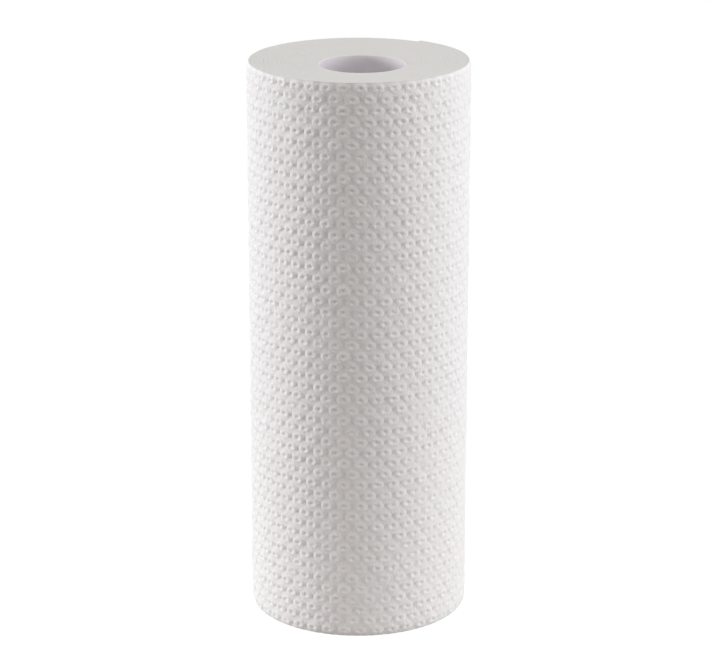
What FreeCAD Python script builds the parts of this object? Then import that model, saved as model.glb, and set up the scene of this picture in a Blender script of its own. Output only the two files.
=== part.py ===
import FreeCAD, Part
import Sketcher
import math
import os

# A roll of reusable cleaning wipes: one long web of lofty embossed cloth, wound on a paperboard
# tube and perforated across into square sheets.
# Millimetres and degrees. The tube's axis is Z, and the roll stands on its lower end at z = 0.
# The front is -Y. The loose end of the web, its tail, lies at the back.

document = FreeCAD.newDocument("cleaning_wipe_roll")

# Driving sizes. The outer diameter isn't one of them, because it follows from the winding.
driving_sizes = {
    "sheet_width": 279.4,  # across the web, which is the roll's height
    "sheet_length": 279.4,  # along the web, from one perforated line to the next
    "sheet_count": 14,
    "cloth_thickness": 1.75,  # over the raised rings, lightly pressed
    "turn_gap": 0.24,  # air that the rings keep between one turn and the next
    "lead_angle": 70.0,  # turned from the spiral's start to the web's crushed leading edge
    "tube_bore": 41.3,  # inner diameter of the paperboard tube
    "tube_wall": 1.6,
    "tube_recess": 0.3,  # how far the saw-cut tube stops inside each end of the winding
    "slit_length": 11.0,  # one cut of a perforated line
    "slit_width": 0.4,
    "tie_length": 2.0,  # uncut cloth between two slits
    "tail_angle": 145.0,  # where the tail ends, turned anticlockwise from the front
}
sizes = document.addObject("Spreadsheet::Sheet", "sizes")
for row, (alias, value) in enumerate(driving_sizes.items(), start=1):
    sizes.set(f"A{row}", alias)
    sizes.set(f"B{row}", str(value))
    sizes.setAlias(f"B{row}", alias)
document.recompute()

axis = FreeCAD.Vector(0, 0, 1)
front_bearing = -90  # of -Y, anticlockwise from +X


def size(alias):
    return float(getattr(sizes, alias))


def new_sketch(body, name, plane_role):
    plane = next(plane for plane in body.Origin.OriginFeatures if plane.Role == plane_role)
    sketch = body.newObject("Sketcher::SketchObject", name)
    sketch.AttachmentSupport = (plane, [""])
    sketch.MapMode = "FlatFace"
    return sketch


def add_dimension(sketch, name, rule, kind, *where):
    # rule is the expression on the sheet that the dimension follows
    value = 1.0
    number = sketch.addConstraint(Sketcher.Constraint(kind, *where, value))
    sketch.renameConstraint(number, name)
    sketch.setExpression(f"Constraints.{name}", rule)


# ---- paperboard tube ----------------------------------------------------------------------


def make_core_tube():
    body = document.addObject("PartDesign::Body", "core_tube_body")
    body.Label = "core_tube"
    ring = new_sketch(body, "tube_ring", "XY_Plane")
    ring.setExpression("AttachmentOffset.Base.z", "sizes.tube_recess")
    for number, (name, rule) in enumerate(
        (
            ("bore", "sizes.tube_bore"),
            ("outside", "sizes.tube_bore + 2 * sizes.tube_wall"),
        )
    ):
        ring.addGeometry(Part.Circle(FreeCAD.Vector(), axis, 20 + number), False)
        ring.addConstraint(Sketcher.Constraint("Coincident", number, 3, -1, 1))
        add_dimension(ring, name, rule, "Diameter", number)
    tube = body.newObject("PartDesign::Pad", "tube")
    tube.Profile = ring
    tube.setExpression("Length", "sizes.sheet_width - 2 * sizes.tube_recess")
    body.Tip = tube
    return body


# ---- the winding --------------------------------------------------------------------------
# Seen from above, each half turn of the web is an arc about one of two centres that lie half a
# pitch apart. Each arc's radius is half a pitch more than the last one's, so the arcs join
# smoothly into a spiral. The first two half turns lie on the tube. In the first one, which the
# next turn passes over, the leading end is crushed thin, from full thickness at its far end.

pitch = size("cloth_thickness") + size("turn_gap")
tube_radius = size("tube_bore") / 2 + size("tube_wall")
web_length = size("sheet_count") * size("sheet_length")


def half_turn_centre(number):
    return FreeCAD.Vector(-pitch / 2 * (1 - number % 2), 0, 0)


def half_turn_radius(number):
    # to the inner face of the cloth
    return tube_radius + (number - 1) * pitch / 2


def half_turn_start(number):
    return math.radians(size("lead_angle")) if number == 0 else math.pi * (number % 2)


def half_turn_end(number):
    return math.pi * (number % 2 + 1)


def place_along(length):
    # the half turn that holds the point this far along the web, and the angle there in radians
    number = 0
    left = length
    while True:
        middle_radius = half_turn_radius(number) + size("cloth_thickness") / 2
        angle = half_turn_start(number) + left / middle_radius
        if angle <= half_turn_end(number):
            return number, angle
        left -= middle_radius * (half_turn_end(number) - half_turn_start(number))
        number += 1


def point_along(length):
    # on the inner face of the cloth
    number, angle = place_along(length)
    outwards = FreeCAD.Vector(math.cos(angle), math.sin(angle), 0)
    return half_turn_centre(number) + outwards * half_turn_radius(number)


def bearing(point):
    return math.degrees(math.atan2(point.y, point.x))


def turned(angle):
    return FreeCAD.Placement(FreeCAD.Vector(), FreeCAD.Rotation(axis, angle))


def arc(centre, radius, start, end):
    return Part.ArcOfCircle(Part.Circle(centre, axis, radius), start, end).toShape()


def cloth_face(offset):
    # the arcs of one face of the cloth, this far outside its inner face
    last_number, tail_end = place_along(web_length)
    arcs = []
    for number in range(last_number + 1):
        end = tail_end if number == last_number else half_turn_end(number)
        radius = half_turn_radius(number) + offset
        arcs.append(arc(half_turn_centre(number), radius, half_turn_start(number), end))
    return arcs


def make_web_section():
    outer = cloth_face(size("cloth_thickness"))
    on_tube = arc(FreeCAD.Vector(), tube_radius, half_turn_start(0), half_turn_end(0))
    inner = [on_tube, *cloth_face(0)[1:]]
    lead_edge = Part.makeLine(inner[0].firstVertex(True).Point, outer[0].firstVertex(True).Point)
    tail_edge = Part.makeLine(inner[-1].lastVertex(True).Point, outer[-1].lastVertex(True).Point)
    outline = Part.Wire(Part.__sortEdges__([*inner, tail_edge, *outer, lead_edge]))
    section = document.addObject("Part::Feature", "web_section")
    section.Shape = Part.Face(outline)
    return section


def make_winding(section):
    winding = document.addObject("Part::Extrusion", "winding")
    winding.Base = section
    winding.DirMode = "Custom"
    winding.Dir = axis
    winding.Solid = True
    winding.setExpression("LengthFwd", "sizes.sheet_width")
    return winding


def cut_perforation(body, depth_of_plane):
    # One slit, cut outwards from the gap under the cloth to the air above it, and its repeats up
    # the roll. Only the outermost line is cut: the others lie closed between the turns.
    step_rule = "(sizes.slit_length + sizes.tie_length)"
    count_rule = f"floor((sizes.sheet_width - sizes.tie_length) / {step_rule})"
    outline = new_sketch(body, "slit_outline", "XZ_Plane")
    outline.AttachmentOffset = FreeCAD.Placement(
        FreeCAD.Vector(0, 0, depth_of_plane), FreeCAD.Rotation()
    )
    corners = [FreeCAD.Vector(x, y, 0) for x, y in ((-1, 1), (1, 1), (1, 3), (-1, 3))]
    for number, corner in enumerate(corners):
        next_corner = corners[(number + 1) % 4]
        outline.addGeometry(Part.LineSegment(corner, next_corner), False)
    for number in range(4):
        outline.addConstraint(Sketcher.Constraint("Coincident", number, 2, (number + 1) % 4, 1))
    outline.addConstraint(Sketcher.Constraint("Symmetric", 0, 1, 0, 2, -2))
    outline.addConstraint(Sketcher.Constraint("Horizontal", 2))
    outline.addConstraint(Sketcher.Constraint("Vertical", 1))
    outline.addConstraint(Sketcher.Constraint("Vertical", 3))
    add_dimension(outline, "width", "sizes.slit_width", "DistanceX", 0, 1, 0, 2)
    add_dimension(outline, "length", "sizes.slit_length", "DistanceY", 1, 1, 1, 2)
    first_rule = f"(sizes.sheet_width + sizes.tie_length - {count_rule} * {step_rule}) / 2"
    add_dimension(outline, "first", first_rule, "DistanceY", -1, 1, 0, 1)

    slit = body.newObject("PartDesign::Pocket", "slit")
    slit.Profile = outline
    slit.Type = "Length"
    slit.Reversed = True
    slit.setExpression("Length", "sizes.cloth_thickness + sizes.turn_gap")
    slits = body.newObject("PartDesign::LinearPattern", "slits")
    slits.Originals = [slit]
    slits.Direction = (outline, ["V_Axis"])
    slits.Mode = "Spacing"
    slits.setExpression("Offset", step_rule)
    slits.setExpression("Occurrences", count_rule)
    body.Tip = slits
    return slits


def make_wound_wipes():
    # The section is turned so that the outermost perforated line lies on the body's own -Y, and
    # the body is then turned so that the tail ends at its own angle.
    line = point_along(web_length - size("sheet_length"))
    tail = point_along(web_length)
    section = make_web_section()
    section.Placement = turned(front_bearing - bearing(line))
    winding = make_winding(section)
    body = document.addObject("PartDesign::Body", "wound_wipes_body")
    body.Label = "wound_wipes"
    body.BaseFeature = winding
    slits = cut_perforation(body, line.Length - size("turn_gap") / 2)
    body.Placement = turned(size("tail_angle") - (bearing(tail) - bearing(line)))
    document.recompute()
    slit_volume = size("slit_length") * size("slit_width") * size("cloth_thickness")
    removed = winding.Shape.Volume - body.Shape.Volume
    if abs(removed / (slits.Occurrences * slit_volume) - 1) > 0.01:
        raise ValueError(f"the perforated line took {removed:.1f} cubic millimetres away")
    return body


# ---- build, check and write ---------------------------------------------------------------

sub_parts = [make_core_tube(), make_wound_wipes()]
document.recompute()
for item in document.Objects:
    if "Invalid" in item.State or "Error" in item.State:
        raise ValueError(f"{item.Label} failed: {item.State}")
os.makedirs("parts", exist_ok=True)
for sub_part in sub_parts:
    shape = sub_part.Shape
    if shape.isNull() or not shape.isValid():
        raise ValueError(f"{sub_part.Label} has no valid shape")
    shape.exportStep(f"parts/{sub_part.Label}.step")
    box = shape.BoundBox
    print(f"{sub_part.Label}: {box.XLength:.1f} x {box.YLength:.1f} x {box.ZLength:.1f} mm")
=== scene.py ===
import math
import bmesh
import bpy
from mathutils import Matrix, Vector


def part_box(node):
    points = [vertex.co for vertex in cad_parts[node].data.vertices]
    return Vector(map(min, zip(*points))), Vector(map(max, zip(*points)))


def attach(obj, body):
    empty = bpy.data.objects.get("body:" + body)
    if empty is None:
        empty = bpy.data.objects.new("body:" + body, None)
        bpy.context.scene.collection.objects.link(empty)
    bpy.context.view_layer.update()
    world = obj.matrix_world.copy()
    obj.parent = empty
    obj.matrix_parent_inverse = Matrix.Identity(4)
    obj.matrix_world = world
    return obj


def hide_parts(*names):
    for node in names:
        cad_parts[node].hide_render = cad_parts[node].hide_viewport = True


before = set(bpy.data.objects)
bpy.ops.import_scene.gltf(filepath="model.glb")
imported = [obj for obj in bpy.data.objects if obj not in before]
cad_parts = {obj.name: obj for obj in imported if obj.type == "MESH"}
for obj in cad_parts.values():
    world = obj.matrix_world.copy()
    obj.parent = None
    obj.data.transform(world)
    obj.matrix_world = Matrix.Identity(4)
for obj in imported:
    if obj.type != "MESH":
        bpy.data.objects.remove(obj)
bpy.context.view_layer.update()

# A roll of reusable cleaning wipes on its tube. Metres. The tube's axis is Z, the front is -Y,
# and the tail of the web lies at the back.

clothLow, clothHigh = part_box("wound_wipes")
tubeLow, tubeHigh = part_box("core_tube")
sheetWidth = clothHigh.z - clothLow.z
tubeRadius = (tubeHigh.x - tubeLow.x) / 2
rollRadius = (clothHigh.x - clothLow.x) / 2

web = {
    "sheetLength": 0.2794,  # from one perforated line to the next
    "sheetCount": 14,
    "thickness": 0.00175,  # over the rings
    "turnGap": 0.00024,  # air between two turns of the pressed web
    "dressedGap": 0.00003,  # what is left of it between two turns here
    "tubeGap": 0.00001,  # between the tube and the first turn
    "leadAngle": math.radians(70),  # where the web's crushed leading end starts on the tube
    "tailBearing": math.radians(55),  # from +X, anticlockwise from above
    "pathStep": math.radians(1.5),  # from one point of the path to the next
    "offCentre": (-0.00225, 0.0022, 0.0),  # the outermost turn's place beside the tube
    "dish": 0.0018,  # how far the upper end sinks from its rim to the tube
}
pitch = web["thickness"] + web["turnGap"]
webLength = web["sheetCount"] * web["sheetLength"]
perforatedAt = webLength - web["sheetLength"]
innerFace = -(web["turnGap"] - web["dressedGap"]) / 2  # heights of the flat cloth's two faces
outerFace = web["thickness"] - innerFace


# helpers that build node trees: a source is another node's socket or a plain value

def feed(tree, socket, source):
    if isinstance(source, bpy.types.NodeSocket):
        tree.links.new(source, socket)
    else:
        socket.default_value = source


def addNode(tree, kind, wires=None, **settings):
    made = tree.nodes.new(kind)
    for name, value in settings.items():
        setattr(made, name, value)
    for name, source in (wires or {}).items():
        feed(tree, made.inputs[name], source)
    return made


def calculate(tree, operation, *terms):
    return addNode(tree, "ShaderNodeMath", dict(enumerate(terms)), operation=operation).outputs[0]


def calculateVector(tree, operation, *terms):
    return addNode(tree, "ShaderNodeVectorMath", dict(enumerate(terms)), operation=operation).outputs[0]


def scaleVector(tree, vector, factor):
    wires = {"Vector": vector, "Scale": factor}
    return addNode(tree, "ShaderNodeVectorMath", wires, operation="SCALE").outputs[0]


def measureVector(tree, vector):
    return addNode(tree, "ShaderNodeVectorMath", {"Vector": vector}, operation="LENGTH").outputs["Value"]


def split(tree, vector):
    return addNode(tree, "ShaderNodeSeparateXYZ", {"Vector": vector}).outputs


def combine(tree, **parts):
    return addNode(tree, "ShaderNodeCombineXYZ", parts).outputs[0]


def ease(tree, value, start, end):
    # 0 before start, 1 after end, smooth between
    wires = {"Value": value, "From Min": start, "From Max": end}
    return addNode(tree, "ShaderNodeMapRange", wires, interpolation_type="SMOOTHSTEP").outputs["Result"]


def fade(tree, value, reach):
    # 1 where the value is nothing, 0 from the reach on, smooth between
    return calculate(tree, "SUBTRACT", 1.0, ease(tree, value, 0.0, reach))


def seededNoise(tree, vector, seed, scale, detail):
    wires = {"Vector": vector, "W": seed, "Scale": scale, "Detail": detail}
    return addNode(tree, "ShaderNodeTexNoise", wires, noise_dimensions="4D").outputs


def movePoints(tree, geometry, place):
    return addNode(tree, "GeometryNodeSetPosition", {"Geometry": geometry, "Position": place}).outputs[0]


def newTree(name, inputs):
    tree = bpy.data.node_groups.new(name, "GeometryNodeTree")
    tree.interface.new_socket("Geometry", in_out="INPUT", socket_type="NodeSocketGeometry")
    for label, kind in inputs.items():
        tree.interface.new_socket(label, in_out="INPUT", socket_type="NodeSocket" + kind)
    tree.interface.new_socket("Geometry", in_out="OUTPUT", socket_type="NodeSocketGeometry")
    return tree, addNode(tree, "NodeGroupInput").outputs


def endTree(tree, geometry, material):
    plain = addNode(tree, "GeometryNodeRealizeInstances", {"Geometry": geometry}).outputs[0]
    finished = addNode(tree, "GeometryNodeSetMaterial", {"Geometry": plain, "Material": material})
    addNode(tree, "NodeGroupOutput", {"Geometry": finished.outputs[0]})


def runTree(thing, tree, values):
    # turns what the tree makes of an object into that object's plain mesh
    modifier = thing.modifiers.new(tree.name, "NODES")
    modifier.node_group = tree
    for item in tree.interface.items_tree:
        if item.in_out == "INPUT" and item.name in values:
            modifier[item.identifier] = values[item.name]
    graph = bpy.context.evaluated_depsgraph_get()
    made = bpy.data.meshes.new_from_object(thing.evaluated_get(graph))
    thing.modifiers.remove(modifier)
    thing.data = made
    made.name = thing.name


# helpers for meshes

def newObject(name, data):
    made = bpy.data.objects.new(name, data)
    bpy.context.scene.collection.objects.link(made)
    return made


def emptyObject(name):
    return newObject(name, bpy.data.meshes.new(name))


def meshOf(name, shape):
    thing = emptyObject(name)
    shape.to_mesh(thing.data)
    shape.free()
    return thing


def bridgeLoops(shape, one, two):
    # a band of faces between two closed loops of as many points
    for n in range(len(one)):
        after = (n + 1) % len(one)
        shape.faces.new((one[n], two[n], two[after], one[after]))


def roundedCorner(radius):
    # a quarter round in two steps: how far its points lie in from one face and from the other
    return [(0, radius), (0.3 * radius, 0.3 * radius), (radius, 0)]


def smoothFaces(thing, sharpAngle):
    thing.data.shade_smooth()
    thing.data.set_sharp_from_angle(angle=math.radians(sharpAngle))


# helpers for finishes

def newMaterial(name):
    made = bpy.data.materials.new(name)
    made.use_nodes = True
    return made, made.node_tree, made.node_tree.nodes["Principled BSDF"]


def addNoise(tree, vector, scale, detail, roughness):
    wires = {"Vector": vector, "Scale": scale, "Detail": detail, "Roughness": roughness}
    return addNode(tree, "ShaderNodeTexNoise", wires).outputs[0]


def mixColours(tree, factor, first, second):
    return addNode(tree, "ShaderNodeMix", {0: factor, 6: first, 7: second}, data_type="RGBA").outputs[2]


def stretchBy(tree, vector, scale):
    return addNode(tree, "ShaderNodeMapping", {"Vector": vector, "Scale": scale}).outputs[0]


def blend(tree, first, second, share):
    # the share that the first pattern has, the rest from the second
    return calculate(tree, "MULTIPLY_ADD", first, share, calculate(tree, "MULTIPLY", second, 1 - share))


def addBump(tree, height, strength, depth, under=None):
    wires = {"Height": height, "Strength": strength, "Distance": depth}
    if under is not None:
        wires["Normal"] = under
    return addNode(tree, "ShaderNodeBump", wires).outputs[0]


def patternCoordinates(tree):
    # the piece's own flat map, and its place in the object
    flat = addNode(tree, "ShaderNodeUVMap", uv_map="UVMap").outputs[0]
    return flat, addNode(tree, "ShaderNodeTexCoord").outputs["Object"]


clothFinish = {
    "light": (0.885, 0.88, 0.875, 1),
    "dark": (0.745, 0.74, 0.734, 1),
    # painted shade: the cloth's cut ends, the roll's end faces, are coloured darker than the cloth,
    # standing in for less light on them
    "cutEndShadeAndTint": (0.698, 0.713, 0.703, 1),
    "cutEndShadeAndTintFade": (0.0006, 0.0001),  # from the edge: where the cloth's painted shade begins, where it is full
    # scale, detail and roughness of each pattern
    "clouds": (160.0, 4.0, 0.6),  # the web's uneven fibre density
    "fibres": (700.0, 3.0, 0.65),
    "fibreStretch": (1, 5, 1),
    "crossFibres": (600.0, 3.0, 0.65),
    "crossStretch": (4, 1, 1),
    "fuzz": (2600.0, 2.0, 0.6),
    "crumple": (850.0, 2.0, 0.6),
    "weaveInTone": 0.5,  # the rest of the tone is clouds
    "weaveInRelief": 0.6,  # the rest of the fine relief is fuzz
    "fineBump": (0.35, 0.00012),  # strength and depth
    "crumpleBump": (0.75, 0.0005),
    "roughness": (0.85, 0.1),  # least, and what the weave adds
    "sheen": 0.06,
    "sheenRoughness": 0.6,
    "specular": 0.25,
}


def makeCloth():
    made, tree, shader = newMaterial("embossed_wipe_cloth")
    flat, place = patternCoordinates(tree)
    clouds = addNoise(tree, flat, *clothFinish["clouds"])
    fibres = addNoise(tree, stretchBy(tree, flat, clothFinish["fibreStretch"]), *clothFinish["fibres"])
    crossways = stretchBy(tree, flat, clothFinish["crossStretch"])
    crossFibres = addNoise(tree, crossways, *clothFinish["crossFibres"])
    fuzz = addNoise(tree, place, *clothFinish["fuzz"])
    crumple = addNoise(tree, place, *clothFinish["crumple"])
    weave = calculate(tree, "MAXIMUM", fibres, crossFibres)

    tone = blend(tree, weave, clouds, clothFinish["weaveInTone"])
    body = mixColours(tree, tone, clothFinish["dark"], clothFinish["light"])
    # painted shade: the cut ends at both ends of the roll are mixed towards a darker colour
    begin, full = clothFinish["cutEndShadeAndTintFade"]
    across = split(tree, flat)["Y"]
    upper = ease(tree, across, sheetWidth - begin, sheetWidth - full)
    lower = ease(tree, across, begin, full)
    ends = calculate(tree, "MAXIMUM", upper, lower)
    feed(tree, shader.inputs["Base Color"], mixColours(tree, ends, body, clothFinish["cutEndShadeAndTint"]))

    # the cut ends stay free of crumples
    fine = addBump(tree, blend(tree, weave, fuzz, clothFinish["weaveInRelief"]), *clothFinish["fineBump"])
    strength, depth = clothFinish["crumpleBump"]
    crumpledBy = calculate(tree, "MULTIPLY", calculate(tree, "SUBTRACT", 1.0, ends), strength)
    feed(tree, shader.inputs["Normal"], addBump(tree, crumple, crumpledBy, depth, fine))

    least, added = clothFinish["roughness"]
    feed(tree, shader.inputs["Roughness"], calculate(tree, "MULTIPLY_ADD", weave, added, least))
    shader.inputs["Sheen Weight"].default_value = clothFinish["sheen"]
    shader.inputs["Sheen Roughness"].default_value = clothFinish["sheenRoughness"]
    shader.inputs["Specular IOR Level"].default_value = clothFinish["specular"]
    return made


clothMaterial = makeCloth()
print("cloth finish made")


# The path that the web is wound along: half turns about two centres half a pitch apart, as in the
# winding's own rule. It runs through the middle of the cloth, so a length along it is a length of the web.

def halfTurns():
    number = 0
    left = webLength
    while left > 0:
        centre = -pitch / 2 * (1 - number % 2)
        radius = tubeRadius + (number - 1) * pitch / 2 + web["thickness"] / 2
        start = web["leadAngle"] if number == 0 else math.pi * (number % 2)
        end = min(math.pi * (number % 2 + 1), start + left / radius)
        left -= radius * (end - start)
        yield centre, radius, start, end
        number += 1


def makePath():
    points = []
    for centre, radius, start, end in halfTurns():
        steps = max(1, math.ceil((end - start) / web["pathStep"]))
        for step in range(0 if not points else 1, steps + 1):
            angle = start + (end - start) * step / steps
            points.append((centre + radius * math.cos(angle), radius * math.sin(angle)))
    # all of it is turned until the tail's inner edge is at its bearing
    innerRadius = radius - web["thickness"] / 2
    tail = math.atan2(innerRadius * math.sin(end), centre + innerRadius * math.cos(end))
    turn = web["tailBearing"] - tail
    line = bpy.data.curves.new("webPath", "CURVE")
    line.dimensions = "3D"
    spline = line.splines.new("POLY")
    spline.points.add(len(points) - 1)
    for point, (x, y) in zip(spline.points, points):
        point.co = (x * math.cos(turn) - y * math.sin(turn), x * math.sin(turn) + y * math.cos(turn), 0, 1)
    return newObject("webPath", line)


path = makePath()
print(f"web path made: {webLength:.3f} m in {len(list(halfTurns()))} half turns")


# Winding takes flat cloth to its place in the roll. Flat cloth has x along the web, y up the roll
# and z out from its inner face.

winding = {
    # how far in from the cut edges each of these reaches
    "calmReach": 0.004,  # the rings' hold on their places
    "edgeReach": 0.0022,  # rounding at both ends of the roll
    "endReach": 0.0016,  # pressing along the tail and the perforated line
    "tailReach": 0.012,  # the tail's lift
    "fuzzReach": 0.0005,
    "wanderScale": 130.0,
    "waveScale": 28.0,
    "fuzzScale": 90.0,
    "otherSeed": 3.7,  # added for the waves and the fuzz
}


def makeWindingTree():
    tree, given = newTree("windAlongPath", {
        "Path": "Object", "Start": "Float", "Length": "Float", "Width": "Float", "Thickness": "Float",
        "Tube Radius": "Float", "Outer Radius": "Float", "Off Centre": "Vector", "Dish": "Float",
        "Calm Reach": "Float", "Edge Drop": "Float", "Edge Reach": "Float", "End Drop": "Float",
        "End Reach": "Float", "Wander": "Float", "Wander Scale": "Float", "Wave": "Float",
        "Wave Scale": "Float", "End Fuzz": "Float", "Fuzz Scale": "Float", "Fuzz Reach": "Float",
        "Tail Lift": "Float", "Tail Reach": "Float", "Seed": "Float", "Other Seed": "Float",
        "Material": "Material",
    })
    parts = split(tree, addNode(tree, "GeometryNodeInputPosition").outputs[0])
    along = calculate(tree, "ADD", parts["X"], given["Start"])
    flatPlace = combine(tree, X=along, Y=parts["Y"])
    stored = addNode(tree, "GeometryNodeStoreNamedAttribute",
                     {"Geometry": given["Geometry"], "Name": "UVMap", "Value": flatPlace},
                     data_type="FLOAT2", domain="CORNER")
    beforeTail = calculate(tree, "SUBTRACT", given["Length"], parts["X"])
    belowTop = calculate(tree, "SUBTRACT", given["Width"], parts["Y"])
    nearEdge = calculate(tree, "MINIMUM", parts["Y"], belowTop)
    nearEnd = calculate(tree, "MINIMUM", parts["X"], beforeTail)
    halfThick = calculate(tree, "MULTIPLY", given["Thickness"], 0.5)
    outer = ease(tree, parts["Z"], 0.0, halfThick)
    otherSeed = calculate(tree, "ADD", given["Seed"], given["Other Seed"])

    # away from its cut edges each ring strays a little from its place
    inside = ease(tree, calculate(tree, "MINIMUM", nearEdge, nearEnd), 0.0, given["Calm Reach"])
    stray = seededNoise(tree, flatPlace, given["Seed"], given["Wander Scale"], 1.0)["Color"]
    stray = calculateVector(tree, "SUBTRACT", stray, (0.5, 0.5, 0.5))
    strayBy = calculate(tree, "MULTIPLY", given["Wander"], calculate(tree, "MULTIPLY", inside, outer))
    stray = split(tree, scaleVector(tree, stray, strayBy))

    # slow waves across the sheet
    wave = seededNoise(tree, flatPlace, otherSeed, given["Wave Scale"], 2.0)[0]
    wave = calculate(tree, "MULTIPLY", calculate(tree, "SUBTRACT", wave, 0.5), given["Wave"])
    wave = calculate(tree, "MULTIPLY", wave, outer)

    # its edges are rounded, its ends are pressed by the blade, and the tail lifts
    rounded = calculate(tree, "MULTIPLY", fade(tree, nearEdge, given["Edge Reach"]), given["Edge Drop"])
    pressed = calculate(tree, "MULTIPLY", fade(tree, nearEnd, given["End Reach"]), given["End Drop"])
    drop = calculate(tree, "MULTIPLY", calculate(tree, "MAXIMUM", rounded, pressed), outer)
    lift = calculate(tree, "POWER", fade(tree, beforeTail, given["Tail Reach"]), 2.0)
    lift = calculate(tree, "MULTIPLY", lift, given["Tail Lift"])
    out = calculate(tree, "SUBTRACT", parts["Z"], halfThick)
    for term in (stray["Z"], wave, lift):
        out = calculate(tree, "ADD", out, term)
    out = calculate(tree, "SUBTRACT", out, drop)

    # both ends of the roll are a little uneven
    fuzz = seededNoise(tree, flatPlace, otherSeed, given["Fuzz Scale"], 3.0)[0]
    fuzz = calculate(tree, "MULTIPLY", calculate(tree, "SUBTRACT", fuzz, 0.5), given["End Fuzz"])
    fuzz = calculate(tree, "MULTIPLY", fuzz, fade(tree, nearEdge, given["Fuzz Reach"]))
    up = calculate(tree, "ADD", calculate(tree, "ADD", parts["Y"], stray["Y"]), fuzz)
    up = calculate(tree, "MINIMUM", calculate(tree, "MAXIMUM", up, 0.0), given["Width"])

    curve = addNode(tree, "GeometryNodeObjectInfo", {"Object": given["Path"]}).outputs["Geometry"]
    sample = addNode(tree, "GeometryNodeSampleCurve",
                     {"Curves": curve, "Length": calculate(tree, "ADD", along, stray["X"])},
                     mode="LENGTH", use_all_curves=True)
    outward = calculateVector(tree, "CROSS_PRODUCT", sample.outputs["Tangent"], (0.0, 0.0, 1.0))
    outward = calculateVector(tree, "NORMALIZE", outward)
    ring = calculateVector(tree, "ADD", sample.outputs["Position"], scaleVector(tree, outward, out))

    # nothing goes inside the tube's outer face
    reach = measureVector(tree, ring)
    least = calculate(tree, "MAXIMUM", reach, given["Tube Radius"])
    ring = scaleVector(tree, ring, calculate(tree, "DIVIDE", least, reach))

    # the turns lie a little looser on one side of the tube, and the upper end sinks towards it
    depth = calculate(tree, "SUBTRACT", least, given["Tube Radius"])
    allTurns = calculate(tree, "SUBTRACT", given["Outer Radius"], given["Tube Radius"])
    depth = calculate(tree, "DIVIDE", depth, allTurns)
    ring = calculateVector(tree, "ADD", ring, scaleVector(tree, given["Off Centre"], depth))
    sunk = calculate(tree, "MULTIPLY", given["Dish"], calculate(tree, "SUBTRACT", 1.0, depth))
    sunk = calculate(tree, "MULTIPLY", sunk, calculate(tree, "DIVIDE", up, given["Width"]))
    up = calculate(tree, "SUBTRACT", up, sunk)
    place = calculateVector(tree, "ADD", ring, combine(tree, Z=up))
    endTree(tree, movePoints(tree, stored.outputs[0], place), given["Material"])
    return tree


windingTree = makeWindingTree()


def wind(thing, start, length, seed=0.0, own=None):
    values = {
        "Path": path, "Start": start, "Length": length, "Width": sheetWidth, "Thickness": web["thickness"],
        "Tube Radius": tubeRadius + web["tubeGap"], "Outer Radius": rollRadius,
        "Off Centre": web["offCentre"], "Dish": web["dish"], "Calm Reach": winding["calmReach"],
        "Edge Drop": 0.0, "Edge Reach": winding["edgeReach"], "End Drop": 0.0,
        "End Reach": winding["endReach"], "Wander": 0.0, "Wander Scale": winding["wanderScale"],
        "Wave": 0.0, "Wave Scale": winding["waveScale"], "End Fuzz": 0.0,
        "Fuzz Scale": winding["fuzzScale"], "Fuzz Reach": winding["fuzzReach"], "Tail Lift": 0.0,
        "Tail Reach": winding["tailReach"], "Seed": seed, "Other Seed": winding["otherSeed"],
        "Material": clothMaterial,
    }
    values.update(own or {})
    runTree(thing, windingTree, values)


# The outside of the roll is embossed with staggered rings.

emboss = {
    "columns": 35,  # rings along one sheet
    "rows": 51,  # rings across the web
    "segments": 12,
    # radius and height of a ring's loops, from its dimple to its foot
    "loops": ((0.0004, -0.0001), (0.0008, 0.0003), (0.0019, 0.0006), (0.0025, 0.00042)),
    "widen": 1.12,  # the rings are a little wider along the web than across it
    "floor": 0.00108,  # the level that every height is counted from, above the inner face
    "cornerHeight": -0.00042,  # where three rings meet
    "sideHeight": -0.00080,  # between two rings of a row
    "saddleHeight": 0.00054,  # where a ring runs over into one of a neighbouring row
    "bridgeHeight": 0.00044,  # between the two
    "strength": (0.58, 1.02),  # least and most that a ring's heights are multiplied by
    "lumps": 0.0004,  # unevenness of the pressed cloth
    "lumpScale": 450.0,
    "mergeWithin": 0.00002,
    "seed": 11,
}
columnPitch = web["sheetLength"] / emboss["columns"]
rowPitch = sheetWidth / emboss["rows"]


def makeRingTile():
    # one ring with a dimple, on its six-sided share of the staggered pattern
    half = columnPitch / 2
    corner = (rowPitch ** 2 - half ** 2) / (2 * rowPitch)
    peak = (rowPitch ** 2 + half ** 2) / (2 * rowPitch)
    quarter = [
        (half, 0, emboss["sideHeight"]), (half, corner, emboss["cornerHeight"]),
        (half / 2, (corner + peak) / 2, emboss["bridgeHeight"]),
    ]
    top = (0, peak, emboss["cornerHeight"])
    upperHalf = quarter + [top] + [(-x, y, z) for x, y, z in reversed(quarter)]
    border = upperHalf + [(x, -y, z) for x, y, z in reversed(upperHalf[1:-1])]
    shape = bmesh.new()
    rings = []
    for radius, height in emboss["loops"]:
        wide, tall = radius * emboss["widen"], radius / emboss["widen"]
        isFoot = (radius, height) == emboss["loops"][-1]
        ring = []
        for number in range(emboss["segments"]):
            t = 2 * math.pi * number / emboss["segments"]
            level = emboss["saddleHeight"] if isFoot and abs(border[number][0]) == half / 2 else height
            ring.append(shape.verts.new((wide * math.cos(t), tall * math.sin(t), level)))
        rings.append(ring)
    rings.append([shape.verts.new(point) for point in border])
    shape.faces.new(rings[0])
    for inner, wider in zip(rings, rings[1:]):
        bridgeLoops(shape, inner, wider)
    return meshOf("ringTile", shape)


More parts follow.
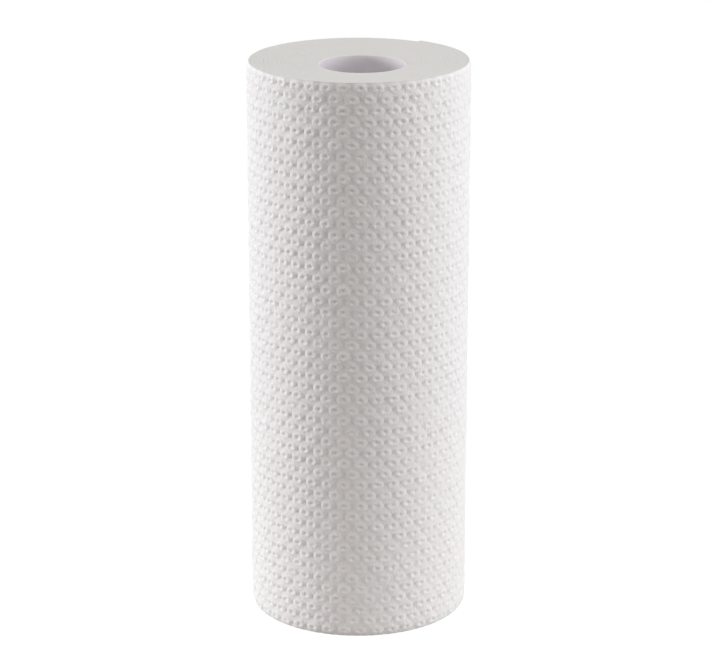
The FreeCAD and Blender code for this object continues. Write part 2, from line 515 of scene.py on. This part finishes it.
def makeEmbossTree():
    tree, given = newTree("embossedCloth", {
        "Tile": "Object", "Columns": "Int", "Rows": "Int", "Column Pitch": "Float", "Row Pitch": "Float",
        "Strength From": "Float", "Strength To": "Float", "Floor": "Float", "Lumps": "Float",
        "Lump Scale": "Float", "Merge Within": "Float", "Seed": "Int", "Material": "Material",
    })
    # one column and one row more at each side, which are cut through later
    columns = calculate(tree, "ADD", given["Columns"], 2.0)
    rows = calculate(tree, "ADD", given["Rows"], 2.0)
    dots = addNode(tree, "GeometryNodePoints", {"Count": calculate(tree, "MULTIPLY", columns, rows)})
    index = addNode(tree, "GeometryNodeInputIndex").outputs[0]
    row = calculate(tree, "FLOOR", calculate(tree, "DIVIDE", calculate(tree, "ADD", index, 0.5), columns))
    column = calculate(tree, "SUBTRACT", index, calculate(tree, "MULTIPLY", row, columns))
    odd = calculate(tree, "FLOORED_MODULO", row, 2.0)
    across = calculate(tree, "MULTIPLY_ADD", odd, -0.5, column)
    x = calculate(tree, "MULTIPLY", across, given["Column Pitch"])
    y = calculate(tree, "MULTIPLY", calculate(tree, "SUBTRACT", row, 0.5), given["Row Pitch"])
    dots = movePoints(tree, dots.outputs[0], combine(tree, X=x, Y=y))
    tile = addNode(tree, "GeometryNodeObjectInfo", {"Object": given["Tile"]}).outputs["Geometry"]
    tiles = addNode(tree, "GeometryNodeInstanceOnPoints", {"Points": dots, "Instance": tile})

    # each ring has its own strength, carried from its instance to its points
    strength = addNode(tree, "FunctionNodeRandomValue",
                       {2: given["Strength From"], 3: given["Strength To"], "Seed": given["Seed"]},
                       data_type="FLOAT")
    stored = addNode(tree, "GeometryNodeStoreNamedAttribute",
                     {"Geometry": tiles.outputs[0], "Name": "strength", "Value": strength.outputs[1]},
                     data_type="FLOAT", domain="INSTANCE")
    joined = addNode(tree, "GeometryNodeRealizeInstances", {"Geometry": stored.outputs[0]})
    joined = addNode(tree, "GeometryNodeMergeByDistance",
                     {"Geometry": joined.outputs[0], "Distance": given["Merge Within"]}, mode="ALL")
    parts = split(tree, addNode(tree, "GeometryNodeInputPosition").outputs[0])
    own = addNode(tree, "GeometryNodeInputNamedAttribute", {"Name": "strength"}, data_type="FLOAT")
    height = calculate(tree, "MULTIPLY_ADD", parts["Z"], own.outputs[0], given["Floor"])
    flatPlace = combine(tree, X=parts["X"], Y=parts["Y"])
    lumps = seededNoise(tree, flatPlace, given["Seed"], given["Lump Scale"], 1.0)[0]
    lumps = calculate(tree, "SUBTRACT", lumps, 0.5)
    height = calculate(tree, "MULTIPLY_ADD", lumps, given["Lumps"], height)
    raised = movePoints(tree, joined.outputs[0], combine(tree, X=parts["X"], Y=parts["Y"], Z=height))
    cleared = addNode(tree, "GeometryNodeRemoveAttribute", {"Geometry": raised, "Name": "strength"})
    endTree(tree, cleared.outputs[0], given["Material"])
    return tree


embossTree = makeEmbossTree()
ringTile = makeRingTile()
cutting = {
    "onCut": 1e-6,  # a point this near a cut counts as on it
    "onEdge": 2e-6,  # and is found again this near the edge
}


def trim(shape, start, end):
    # cuts the flat cloth to its four straight edges
    planes = (((start, 0, 0), (-1, 0, 0)), ((end, 0, 0), (1, 0, 0)),
              ((0, 0, 0), (0, -1, 0)), ((0, sheetWidth, 0), (0, 1, 0)))
    for point, outwards in planes:
        everything = list(shape.verts) + list(shape.edges) + list(shape.faces)
        bmesh.ops.bisect_plane(shape, geom=everything, dist=cutting["onCut"], plane_co=point,
                               plane_no=outwards, clear_outer=True, use_snap_center=False)


def closeBack(shape, start, end):
    # gives the embossed face its cut edges and a plain inner face
    small = cutting["onEdge"]
    edgeVerts = {vert for edge in shape.edges if len(edge.link_faces) == 1 for vert in edge.verts}
    lower = sorted((v for v in edgeVerts if v.co.y < small), key=lambda v: v.co.x)
    upper = sorted((v for v in edgeVerts if v.co.y > sheetWidth - small), key=lambda v: v.co.x)
    first = sorted((v for v in edgeVerts if v.co.x < start + small), key=lambda v: v.co.y)
    last = sorted((v for v in edgeVerts if v.co.x > end - small), key=lambda v: v.co.y)
    if len(lower) != len(upper):
        raise ValueError(f"the cut edges have {len(lower)} and {len(upper)} points")
    lowerInner = [shape.verts.new((v.co.x, 0, innerFace)) for v in lower]
    upperInner = [shape.verts.new((v.co.x, sheetWidth, innerFace)) for v in upper]
    for n in range(len(lower) - 1):
        shape.faces.new((lower[n + 1], lower[n], lowerInner[n], lowerInner[n + 1]))
        shape.faces.new((upper[n], upper[n + 1], upperInner[n + 1], upperInner[n]))
        shape.faces.new((lowerInner[n + 1], lowerInner[n], upperInner[n], upperInner[n + 1]))
    shape.faces.new([*first, upperInner[0], lowerInner[0]])
    shape.faces.new([*reversed(last), lowerInner[-1], upperInner[-1]])


def makeEmbossedSheet(name, firstColumn, columns, startTrim, endTrim):
    # a stretch of embossed web; columns are counted from the last perforated line
    thing = emptyObject(name)
    least, most = emboss["strength"]
    runTree(thing, embossTree, {
        "Tile": ringTile, "Columns": columns, "Rows": emboss["rows"], "Column Pitch": columnPitch,
        "Row Pitch": rowPitch, "Strength From": least, "Strength To": most,
        "Floor": emboss["floor"], "Lumps": emboss["lumps"], "Lump Scale": emboss["lumpScale"],
        "Merge Within": emboss["mergeWithin"], "Seed": emboss["seed"] + firstColumn,
        "Material": clothMaterial,
    })
    shape = bmesh.new()
    shape.from_mesh(thing.data)
    bmesh.ops.translate(shape, verts=shape.verts, vec=(-columnPitch / 2, 0, 0))
    end = columns * columnPitch - endTrim
    trim(shape, startTrim, end)
    closeBack(shape, startTrim, end)
    shape.to_mesh(thing.data)
    shape.free()
    return thing


outside = {
    "edgeDrop": 0.0007,  # rounding of the cloth at both ends of the roll
    "endDrop": 0.0006,  # pressed by the blade along the tail and the perforated line
    "wander": 0.0008,
    "wave": 0.00025,
    "tailLift": 0.0002,
    "slitWidth": 0.0004,
    "columnsBefore": 7,  # of the sheet before the last one, seen up to the tail
    "sharpAngle": 50,
}


def makeOutside():
    halfSlit = outside["slitWidth"] / 2
    columns = outside["columnsBefore"]
    length = columns * columnPitch
    handled = {"Edge Drop": outside["edgeDrop"], "End Drop": outside["endDrop"],
               "Wander": outside["wander"], "Wave": outside["wave"]}
    last = makeEmbossedSheet("last_sheet", 0, emboss["columns"], halfSlit, 0)
    wind(last, perforatedAt, web["sheetLength"], 1.0, {**handled, "Tail Lift": outside["tailLift"]})
    before = makeEmbossedSheet("sheet_before", -columns, columns, 0, halfSlit)
    wind(before, perforatedAt - length, length, 2.0, handled)
    for sheet in (last, before):
        smoothFaces(sheet, outside["sharpAngle"])
    return last, before


lastSheet, sheetBefore = makeOutside()
print(f"embossed sheets made: {len(lastSheet.data.polygons)} and {len(sheetBefore.data.polygons)} faces")


# Ties hold the last sheet to the one before it, between the slits of the perforated line.

ties = {
    "step": 0.013,
    "slit": 0.011,
    "overlap": 0.0004,  # into the sheet at each side
    "low": 0.0003,
    "high": 0.0011,
    "waist": 0.15,  # of its height, how far a tie is pinched in from each side
    "sharpAngle": 40,
}


def makeTieTree():
    # ties between the slits, and the longer uncut bit of the line at each edge of the web
    tree, given = newTree("tiesAlongLine", {
        "Tie": "Object", "Count": "Int", "Step": "Float", "Width": "Float", "Tie Length": "Float",
        "End Length": "Float", "Material": "Material",
    })
    dots = addNode(tree, "GeometryNodePoints", {"Count": calculate(tree, "ADD", given["Count"], 2.0)})
    index = addNode(tree, "GeometryNodeInputIndex").outputs[0]
    middle = calculate(tree, "DIVIDE", calculate(tree, "ADD", given["Count"], 1.0), 2.0)
    fromMiddle = calculate(tree, "SUBTRACT", index, middle)
    isEnd = calculate(tree, "GREATER_THAN", calculate(tree, "ABSOLUTE", fromMiddle),
                      calculate(tree, "SUBTRACT", middle, 0.5))
    half = calculate(tree, "DIVIDE", given["Width"], 2.0)
    plain = calculate(tree, "MULTIPLY_ADD", fromMiddle, given["Step"], half)
    reach = calculate(tree, "SUBTRACT", half, calculate(tree, "DIVIDE", given["End Length"], 2.0))
    atEnd = calculate(tree, "MULTIPLY_ADD", calculate(tree, "SIGN", fromMiddle), reach, half)
    up = addNode(tree, "ShaderNodeMix", {0: isEnd, 2: plain, 3: atEnd}, data_type="FLOAT").outputs[0]
    dots = movePoints(tree, dots.outputs[0], combine(tree, Y=up))
    longer = calculate(tree, "DIVIDE", given["End Length"], given["Tie Length"])
    tall = addNode(tree, "ShaderNodeMix", {0: isEnd, 2: 1.0, 3: longer}, data_type="FLOAT").outputs[0]
    tie = addNode(tree, "GeometryNodeObjectInfo", {"Object": given["Tie"]}).outputs["Geometry"]
    placed = addNode(tree, "GeometryNodeInstanceOnPoints",
                     {"Points": dots, "Instance": tie, "Scale": combine(tree, X=1.0, Y=tall, Z=1.0)})
    endTree(tree, placed.outputs[0], given["Material"])
    return tree


def makeTie(length):
    # a pinched bridge of cloth over the slit line
    half = outside["slitWidth"] / 2 + ties["overlap"]
    waist = (ties["high"] - ties["low"]) * ties["waist"]
    shape = bmesh.new()
    loops = []
    for x, pinch in ((-half, 0), (-half / 3, waist), (half / 3, waist), (half, 0)):
        low, high = ties["low"] + pinch, ties["high"] - pinch
        side = length / 2 - pinch
        corners = ((-side, low), (side, low), (side, high), (-side, high))
        loops.append([shape.verts.new((x, y, z)) for y, z in corners])
    for one, two in zip(loops, loops[1:]):
        bridgeLoops(shape, one, two)
    shape.faces.new(loops[0])
    shape.faces.new(reversed(loops[-1]))
    bmesh.ops.recalc_face_normals(shape, faces=shape.faces)
    return meshOf("tieShape", shape)


def makeTies():
    tieLength = ties["step"] - ties["slit"]
    slits = math.floor((sheetWidth - tieLength) / ties["step"])
    endLength = (sheetWidth + tieLength - slits * ties["step"]) / 2
    tie = makeTie(tieLength)
    thing = emptyObject("perforation_ties")
    runTree(thing, makeTieTree(), {
        "Tie": tie, "Count": slits - 1, "Step": ties["step"], "Width": sheetWidth,
        "Tie Length": tieLength, "End Length": endLength, "Material": clothMaterial,
    })
    bpy.data.objects.remove(tie)
    wind(thing, perforatedAt, web["sheetLength"])
    smoothFaces(thing, ties["sharpAngle"])
    return thing


perforationTies = makeTies()
print("ties made along the perforated line")


# The turns beneath show at both ends of the roll, so they are plain cloth with rounded cut edges.

turns = {
    "segmentsPerTurn": 96,
    "corner": 0.00006,  # rounding of the cut edges
    "fuzz": 0.00008,
    "endGap": 0.00005,  # left before the embossed cloth
    "leastStride": 0.0005,  # the last one's least length
    "sharpAngle": 50,
}


def makeTurns():
    length = perforatedAt - outside["columnsBefore"] * columnPitch - turns["endGap"]
    corner = roundedCorner(turns["corner"])
    edge = [(y, innerFace + z) for y, z in reversed(corner)] + [(0, (innerFace + outerFace) / 2)]
    edge += [(y, outerFace - z) for y, z in corner]
    profile = edge + [(sheetWidth - y, z) for y, z in reversed(edge)]
    stations = [0.0]
    for _, radius, start, end in halfTurns():
        steps = max(1, round((end - start) / (2 * math.pi) * turns["segmentsPerTurn"]))
        stride = radius * (end - start) / steps
        for _ in range(steps):
            stations.append(stations[-1] + stride)
    stations = [x for x in stations if x < length - turns["leastStride"]] + [length]
    shape = bmesh.new()
    loops = [[shape.verts.new((x, y, z)) for y, z in profile] for x in stations]
    for one, two in zip(loops, loops[1:]):
        for n in range(len(profile)):
            after = (n + 1) % len(profile)
            shape.faces.new((one[n], one[after], two[after], two[n]))
    shape.faces.new(reversed(loops[0]))
    shape.faces.new(loops[-1])
    bmesh.ops.recalc_face_normals(shape, faces=shape.faces)
    thing = meshOf("wound_turns", shape)
    wind(thing, 0.0, length, 5.0, {"End Fuzz": turns["fuzz"]})
    smoothFaces(thing, turns["sharpAngle"])
    return thing, length


woundTurns, woundLength = makeTurns()
print(f"wound turns made: {woundLength:.3f} m of web")

for spare in (ringTile, path):
    bpy.data.objects.remove(spare)


# The paperboard tube, with the spiral seam of its inner ply.

tube = {
    "wall": 0.0016,
    "columns": 96,
    "levels": 72,
    "plyTurns": 1.5,  # of the inner ply's seam over the tube's height
    "seamHalf": 0.0004,
    "seamDepth": 0.00015,
    "rimRound": 0.0003,
    "topSunk": 0.0015,  # below the plain model's tube, as the sunken end is
    "sharpAngle": 60,
}
tubeTop = tubeHigh.z - tube["topSunk"]
boardFinish = {
    "light": (0.785, 0.76, 0.80, 1),
    "dark": (0.72, 0.695, 0.73, 1),
    # the board's own plain tint at the tube's cut ends
    "cutEndShadeAndTint": (0.76, 0.76, 0.765, 1),
    "cutEndShadeAndTintFade": (0.0005, 0.0002),  # from the end: where its colour begins, where it is full
    # scale, detail and roughness of each pattern
    "streaks": (300.0, 4.0, 0.6),
    "streakStretch": (1, 9, 1),  # along the plies
    "specks": (1800.0, 2.0, 0.6),
    "streaksInTone": 0.7,  # the rest is specks
    "bump": (0.4, 0.0001),  # strength and depth
    "roughness": (0.75, 0.15),  # least, and what the specks add
    "specular": 0.3,
}


def makeBoard():
    made, tree, shader = newMaterial("pale_tube_board")
    flat, place = patternCoordinates(tree)
    streaks = addNoise(tree, stretchBy(tree, flat, boardFinish["streakStretch"]), *boardFinish["streaks"])
    specks = addNoise(tree, place, *boardFinish["specks"])
    tone = blend(tree, streaks, specks, boardFinish["streaksInTone"])
    body = mixColours(tree, tone, boardFinish["dark"], boardFinish["light"])
    begin, full = boardFinish["cutEndShadeAndTintFade"]
    height = split(tree, place)["Z"]
    upper = ease(tree, height, tubeTop - begin, tubeTop - full)
    lower = ease(tree, height, tubeLow.z + begin, tubeLow.z + full)
    ends = calculate(tree, "MAXIMUM", upper, lower)
    feed(tree, shader.inputs["Base Color"], mixColours(tree, ends, body, boardFinish["cutEndShadeAndTint"]))
    feed(tree, shader.inputs["Normal"], addBump(tree, tone, *boardFinish["bump"]))
    least, added = boardFinish["roughness"]
    feed(tree, shader.inputs["Roughness"], calculate(tree, "MULTIPLY_ADD", specks, added, least))
    shader.inputs["Specular IOR Level"].default_value = boardFinish["specular"]
    return made


def makeTube():
    inner = tubeRadius - tube["wall"]
    height = tubeTop - tubeLow.z
    rim = tube["rimRound"]
    inset = roundedCorner(rim)[1:]  # from the wall's face, from the end
    wallLevels = [rim + (height - 2 * rim) * n / tube["levels"] for n in range(tube["levels"] + 1)]
    profile = [(inner, z, True) for z in wallLevels]
    profile += [(inner + a, height - b, False) for a, b in inset]
    profile += [(tubeRadius - a, height - b, False) for a, b in reversed(inset)]
    profile += [(tubeRadius, z, False) for z in reversed(wallLevels)]
    profile += [(tubeRadius - a, b, False) for a, b in inset]
    profile += [(inner + a, b, False) for a, b in reversed(inset)]
    seamTurn = tube["seamHalf"] / inner
    angles = [-seamTurn, 0.0, seamTurn]
    angles += [2 * math.pi * n / tube["columns"] for n in range(1, tube["columns"])]
    shape = bmesh.new()
    uv = shape.loops.layers.uv.new("UVMap")
    columns = []
    flat = {}
    for angle in angles:
        column = []
        for radius, z, isInner in profile:
            turned = angle + 2 * math.pi * tube["plyTurns"] * z / height
            r = radius + (tube["seamDepth"] if isInner and angle == 0.0 else 0.0)
            vert = shape.verts.new((r * math.cos(turned), r * math.sin(turned), tubeLow.z + z))
            column.append(vert)
            flat[vert] = (angle * inner, z)
        columns.append(column)
    for n, column in enumerate(columns):
        following = columns[(n + 1) % len(columns)]
        for m in range(len(profile)):
            after = (m + 1) % len(profile)
            face = shape.faces.new((column[m], column[after], following[after], following[m]))
            for loop in face.loops:
                across, up = flat[loop.vert]
                if n == len(columns) - 1 and loop.vert in (following[m], following[after]):
                    across += 2 * math.pi * inner  # the flat map closes at the full round
                loop[uv].uv = (across, up)
    bmesh.ops.recalc_face_normals(shape, faces=shape.faces)
    thing = meshOf("paperboard_tube", shape)
    thing.data.materials.append(makeBoard())
    smoothFaces(thing, tube["sharpAngle"])
    return thing


paperTube = makeTube()
print("tube made")

for piece in (lastSheet, sheetBefore, perforationTies, woundTurns):
    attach(piece, "root")
    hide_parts("wound_wipes")
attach(paperTube, "root")
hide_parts("core_tube")
print("pieces handed to the frame")


studio = {
    "floorSize": 1.8,
    "floorGap": 0.0001,  # below the roll
    # painted light: the floor that lights the roll is lighter near it and darker far off, a painted pool
    # of light that sends more bounce onto the roll
    "floorNear": (0.595, 0.58, 0.57, 1),
    "floorFar": (0.32, 0.312, 0.305, 1),
    "floorReach": (0.10, 0.45),  # from the middle: where the near colour ends, where the far one begins
    "floorGlow": 0.95,  # what the camera sees of the floor before the light on it is added
    "floorShade": (0.10, 0.10, 0.10, 1),
    "horizon": (0.229, 0.213, 0.2065, 1),
    "zenith": (0.765, 0.712, 0.69, 1),
}
# a lamp's bearing is from the front and its rise from level, in degrees
lamps = {
    "left_lamp": {"bearing": -96, "rise": 12, "distance": 1.2, "width": 0.48, "tall": 0.44,
                  "power": 10.7, "colour": (0.945, 0.965, 1.0)},
    "right_lamp": {"bearing": 87, "rise": 15, "distance": 0.9, "width": 0.78, "tall": 0.42,
                   "power": 5.95, "colour": (0.945, 0.965, 1.0)},
    "top_lamp": {"bearing": 0, "rise": 66, "distance": 1.3, "width": 0.4, "tall": 0.4,
                 "power": 2.75, "colour": (1.0, 0.985, 0.96)},
}
white = (1, 1, 1, 1)
rollCentre = Vector((0, 0, (clothLow.z + clothHigh.z) / 2))


def isSeen(tree):
    # 1 for what the camera sees, straight or in a gloss or through glass
    rays = addNode(tree, "ShaderNodeLightPath").outputs
    seen = calculate(tree, "MAXIMUM", rays["Is Camera Ray"], rays["Is Glossy Ray"])
    return calculate(tree, "MAXIMUM", seen, rays["Is Transmission Ray"])


def mixShaders(tree, factor, first, second):
    return addNode(tree, "ShaderNodeMixShader", {0: factor, 1: first, 2: second}).outputs[0]


def makeFloorMaterial():
    made = bpy.data.materials.new("pale_floor")
    made.use_nodes = True
    tree = made.node_tree
    tree.nodes.clear()
    glow = addNode(tree, "ShaderNodeEmission", {"Color": white, "Strength": studio["floorGlow"]})
    shade = addNode(tree, "ShaderNodeBsdfDiffuse", {"Color": studio["floorShade"]})
    shown = addNode(tree, "ShaderNodeAddShader", {0: glow.outputs[0], 1: shade.outputs[0]})
    # painted light: the floor is lighter near the roll and darker far away; the camera sees only the glow
    # and shade above
    off = measureVector(tree, addNode(tree, "ShaderNodeTexCoord").outputs["Object"])
    distant = ease(tree, off, *studio["floorReach"])
    faded = mixColours(tree, distant, studio["floorNear"], studio["floorFar"])
    plain = addNode(tree, "ShaderNodeBsdfDiffuse", {"Color": faded})
    front = mixShaders(tree, isSeen(tree), plain.outputs[0], shown.outputs[0])
    below = addNode(tree, "ShaderNodeNewGeometry").outputs["Backfacing"]
    clear = addNode(tree, "ShaderNodeBsdfTransparent").outputs[0]
    addNode(tree, "ShaderNodeOutputMaterial", {"Surface": mixShaders(tree, below, front, clear)})
    return made


def makeFloor():
    half = studio["floorSize"] / 2
    level = clothLow.z - studio["floorGap"]
    corners = ((-half, -half), (half, -half), (half, half), (-half, half))
    shape = bmesh.new()
    shape.faces.new([shape.verts.new((x, y, level)) for x, y in corners])
    floor = meshOf("studio_floor", shape)
    floor.data.materials.append(makeFloorMaterial())


def makeWorld():
    world = bpy.data.worlds.new("studio")
    world.use_nodes = True
    tree = world.node_tree
    tree.nodes.clear()
    rise = split(tree, addNode(tree, "ShaderNodeTexCoord").outputs["Generated"])["Z"]
    sky = mixColours(tree, rise, studio["horizon"], studio["zenith"])
    colour = mixColours(tree, isSeen(tree), sky, white)
    light = addNode(tree, "ShaderNodeBackground", {"Color": colour, "Strength": 1.0})
    addNode(tree, "ShaderNodeOutputWorld", {"Surface": light.outputs[0]})
    bpy.context.scene.world = world


def makeLamp(name, bearing, rise, distance, width, tall, power, colour):
    data = bpy.data.lights.new(name, "AREA")
    data.shape = "RECTANGLE"
    data.size = width
    data.size_y = tall
    data.energy = power
    data.color = colour
    lamp = newObject(name, data)
    turn, tip = math.radians(bearing), math.radians(rise)
    towards = Vector((math.sin(turn) * math.cos(tip), -math.cos(turn) * math.cos(tip), math.sin(tip)))
    lamp.location = rollCentre + towards * distance
    lamp.rotation_euler = (-towards).to_track_quat("-Z", "Y").to_euler()


makeFloor()
makeWorld()
for name, settings in lamps.items():
    makeLamp(name, **settings)


lookFrom = {
    "distance": 1.365,
    "elevation": math.radians(17.65),
    "lens": 138.2,
    "sensorWidth": 36,
    "pitch": math.radians(0.077),  # of the view, up from the point looked at
    "beside": (-0.0026, 0.0022, 0.0),  # that point, from the middle of the tube
}


def makeCamera():
    data = bpy.data.cameras.new("studio_camera")
    data.lens = lookFrom["lens"]
    data.sensor_width = lookFrom["sensorWidth"]
    camera = newObject("studio_camera", data)
    tip = lookFrom["elevation"]
    back = Vector((0, -math.cos(tip), math.sin(tip)))
    camera.location = rollCentre + Vector(lookFrom["beside"]) + back * lookFrom["distance"]
    camera.rotation_euler = (math.pi / 2 - tip + lookFrom["pitch"], 0, 0)
    bpy.context.scene.camera = camera


makeCamera()
bpy.context.scene.view_settings.view_transform = "Standard"
print("floor, light and camera set")
